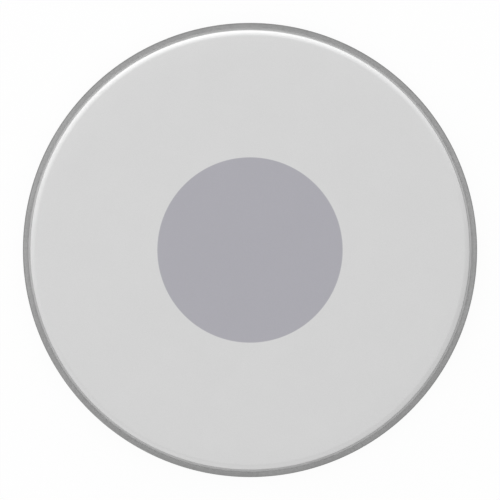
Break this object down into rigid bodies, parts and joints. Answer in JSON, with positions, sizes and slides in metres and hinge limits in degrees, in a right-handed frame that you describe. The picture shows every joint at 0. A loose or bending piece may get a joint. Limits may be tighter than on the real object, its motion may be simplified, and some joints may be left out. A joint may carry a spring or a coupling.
{
  "type": "drum head",
  "caption": "Round coated drum head: formed polyester film with a dark centre dot underneath, its edge cast with resin into a rolled aluminium hoop that slips over a drum shell.",
  "frame": {"origin": "centre of the ring on which the hoop's underside rests", "axes": "+Z along the hoop's axis, from the hoop's underside to the playing face; +X and +Y are any two square directions of the ring, with the hoop's seam 60 degrees clockwise of +X"},
  "size_m": [0.37, 0.37, 0.0176],
  "materials": {
    "hoop_aluminium": "satin mill finish with fine rolling lines round the hoop",
    "casting_resin": "cast, slightly glossy, with a drawn-down surface",
    "polyester_film": "glossy hazy film",
    "sprayed_coating": "matte sprayed texture",
    "bonding_adhesive": "clear pressure-sensitive layer",
    "black_film": "satin black film"
  },
  "bodies": {
    "root": {"hoop": "hoop_aluminium", "hoop_resin": "casting_resin", "film": "polyester_film", "film_coating": "sprayed_coating", "dot_adhesive": "bonding_adhesive", "centre_dot": "black_film"}
  },
  "joints": []
}
